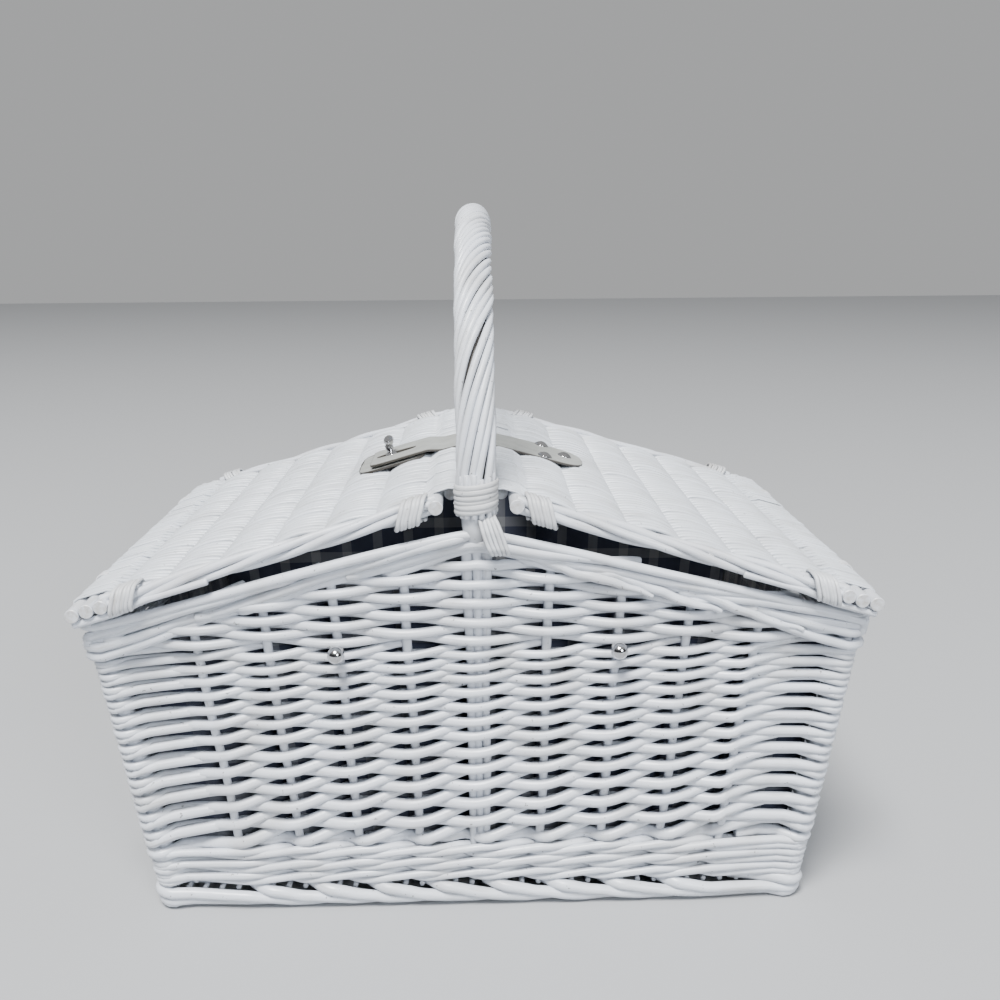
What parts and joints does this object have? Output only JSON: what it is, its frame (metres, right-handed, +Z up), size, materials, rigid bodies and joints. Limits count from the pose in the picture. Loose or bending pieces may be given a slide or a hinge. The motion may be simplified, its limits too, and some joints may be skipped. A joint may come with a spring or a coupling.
{
  "type": "wicker picnic basket",
  "caption": "Painted willow picnic basket with a gable body, twin lids hinged at the eaves, a roped hoop handle and a turn-lock strap.",
  "frame": {"origin": "centre of the footprint, on the surface the basket stands on", "axes": "+X along the basket's length towards the right lid, -Y towards the front gable with the ball studs, +Z up"},
  "size_m": [0.4124, 0.2888, 0.3849],
  "materials": {
    "painted_willow": "cool white paint over willow rods, worn thin on the high spots",
    "cane": "white painted flat cane lashing",
    "leatherette": "pale grey leatherette with darker cut edges",
    "nickel": "polished nickel plate",
    "lining": "navy and grey checked cotton"
  },
  "bodies": {
    "basket": {"ball_stud_left": "nickel", "ball_stud_right": "nickel", "base_panel": "painted_willow", "corner_post_back_left": "painted_willow", "corner_post_back_right": "painted_willow", "corner_post_front_left": "painted_willow", "corner_post_front_right": "painted_willow", "foot_border": "painted_willow", "handle_collar_back": "cane", "handle_collar_front": "cane", "handle_core": "painted_willow", "handle_tie_back": "cane", "handle_tie_front": "cane", "handle_wrap": "painted_willow", "hinge_loop_left_back": "cane", "hinge_loop_left_front": "cane", "hinge_loop_right_back": "cane", "hinge_loop_right_front": "cane", "lining": "lining", "rim_back": "painted_willow", "rim_front": "painted_willow", "rim_left": "painted_willow", "rim_right": "painted_willow", "siding_back": "painted_willow", "siding_front": "painted_willow", "siding_left": "painted_willow", "siding_right": "painted_willow", "wale_band": "painted_willow"},
    "left_lid": {"left_lid_border_back": "painted_willow", "left_lid_border_front": "painted_willow", "left_lid_eave_rod_1": "painted_willow", "left_lid_eave_rod_2": "painted_willow", "left_lid_eave_rod_3": "painted_willow", "left_lid_edge_rod": "painted_willow", "left_lid_lashing_back_eave": "cane", "left_lid_lashing_back_ridge": "cane", "left_lid_lashing_front_eave": "cane", "left_lid_lashing_front_ridge": "cane", "left_lid_panel": "painted_willow", "left_lid_ridge_rod": "painted_willow", "lock_base": "nickel", "strap_patch": "leatherette"},
    "right_lid": {"right_lid_border_back": "painted_willow", "right_lid_border_front": "painted_willow", "right_lid_eave_rod_1": "painted_willow", "right_lid_eave_rod_2": "painted_willow", "right_lid_eave_rod_3": "painted_willow", "right_lid_edge_rod": "painted_willow", "right_lid_lashing_back_eave": "cane", "right_lid_lashing_back_ridge": "cane", "right_lid_lashing_front_eave": "cane", "right_lid_lashing_front_ridge": "cane", "right_lid_panel": "painted_willow", "right_lid_ridge_rod": "painted_willow", "strap_anchor": "leatherette", "strap_rivet_1": "nickel", "strap_rivet_2": "nickel", "strap_rivet_3": "nickel"},
    "clasp": {"lock_knob": "nickel"},
    "strap": {"strap_tongue": "leatherette"}
  },
  "joints": [
    {"name": "left_lid_hinge", "type": "hinge", "parent": "basket", "child": "left_lid", "pos_m": [-0.2004, 0, 0.186], "axis": [0, -1, 0], "range_deg": [0, 165], "deforming": ["strap_tongue"]},
    {"name": "right_lid_hinge", "type": "hinge", "parent": "basket", "child": "right_lid", "pos_m": [0.2004, 0, 0.186], "axis": [0, 1, 0], "range_deg": [0, 165]},
    {"name": "clasp_turn", "type": "hinge", "parent": "left_lid", "child": "clasp", "pos_m": [-0.05157, 0, 0.2428], "axis": [-0.2809, 0, 0.9597], "range_deg": [0, 90]},
    {"name": "strap_flex", "type": "hinge", "parent": "right_lid", "child": "strap", "pos_m": [0.03, 0, 0.24098], "axis": [0, 1, 0], "range_deg": [0, 150]}
  ]
}
